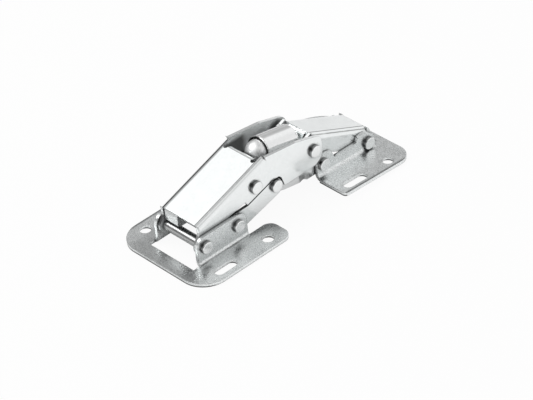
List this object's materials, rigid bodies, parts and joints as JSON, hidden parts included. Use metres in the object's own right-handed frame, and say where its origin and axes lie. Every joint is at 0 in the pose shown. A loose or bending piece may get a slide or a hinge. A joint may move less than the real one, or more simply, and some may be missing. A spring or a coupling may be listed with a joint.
{
  "type": "surface-mounted concealed cabinet hinge",
  "caption": "Sprung concealed cabinet hinge with two screw-on plates joined by a linkage of folded steel arms, shown open.",
  "frame": {"origin": "middle of the left plate's outer edge, on the plate's mounting face", "axes": "+X along the hinge towards the right plate, +Y across the plates to the far side, +Z away from the surface that the left plate is screwed to"},
  "size_m": [0.1006, 0.045, 0.0264],
  "materials": {
    "zinc_plate": "bright zinc plating, fine mottle",
    "zinc_arm": "bright zinc plating",
    "rivet_steel": "zinc plated",
    "sleeve_steel": "smooth, mirror bright",
    "spring_wire": "drawn wire"
  },
  "bodies": {
    "left": {"left_plate": "zinc_plate", "outer_arm_axle": "rivet_steel", "lower_link_rivet_near": "rivet_steel", "lower_link_rivet_far": "rivet_steel"},
    "outer_arm": {"outer_arm": "zinc_arm", "cross_link_pin": "rivet_steel", "inner_arm_rivet_near": "rivet_steel", "inner_arm_rivet_far": "rivet_steel", "spring_plunger": "sleeve_steel", "coil_spring": "spring_wire"},
    "lower_links": {"lower_link_near": "zinc_arm", "lower_link_far": "zinc_arm", "link_joint_rivet_near": "rivet_steel", "link_joint_rivet_far": "rivet_steel"},
    "cross_links": {"cross_link_near": "zinc_arm", "cross_link_far": "zinc_arm"},
    "inner_arm": {"inner_arm": "zinc_arm"},
    "right": {"right_plate": "zinc_plate", "inner_arm_axle": "rivet_steel", "cross_link_rivet_near": "rivet_steel", "cross_link_rivet_far": "rivet_steel"},
    "spring_sleeve": {"spring_sleeve": "sleeve_steel"}
  },
  "joints": [
    {"name": "main_fold", "type": "hinge", "parent": "left", "child": "outer_arm", "pos_m": [0.01226, 0, 0.00692], "axis": [0, -1, 0], "range_deg": [0, 64.66]},
    {"name": "lower_link_fold", "type": "hinge", "parent": "left", "child": "lower_links", "pos_m": [0.02717, 0, 0.00711], "axis": [0, -1, 0], "range_deg": [0, 94.3]},
    {"name": "cross_link_fold", "type": "hinge", "parent": "outer_arm", "child": "cross_links", "pos_m": [0.03765, 0, 0.01669], "axis": [0, -1, 0], "range_deg": [-89.5, 0]},
    {"name": "inner_arm_fold", "type": "hinge", "parent": "outer_arm", "child": "inner_arm", "pos_m": [0.06547, 0, 0.01624], "axis": [0, -1, 0], "range_deg": [-99.5, 0]},
    {"name": "right_plate_fold", "type": "hinge", "parent": "inner_arm", "child": "right", "pos_m": [0.09223, 0, 0.00427], "axis": [0, -1, 0], "range_deg": [0, 128.1]},
    {"name": "spring_stroke", "type": "slide", "parent": "outer_arm", "child": "spring_sleeve", "axis": [0.9828, 0, -0.1848], "range_m": [-0.003, 0], "stiffness_N_per_m": 400, "springref_m": 0.0005, "deforming": ["coil_spring"]}
  ],
  "couplings": [
    {"joint": "lower_link_fold", "follows": "main_fold", "ratio": 1.4578},
    {"joint": "cross_link_fold", "follows": "main_fold", "ratio": -1.3826},
    {"joint": "inner_arm_fold", "follows": "main_fold", "ratio": -1.5376},
    {"joint": "right_plate_fold", "follows": "main_fold", "ratio": 1.979}
  ]
}
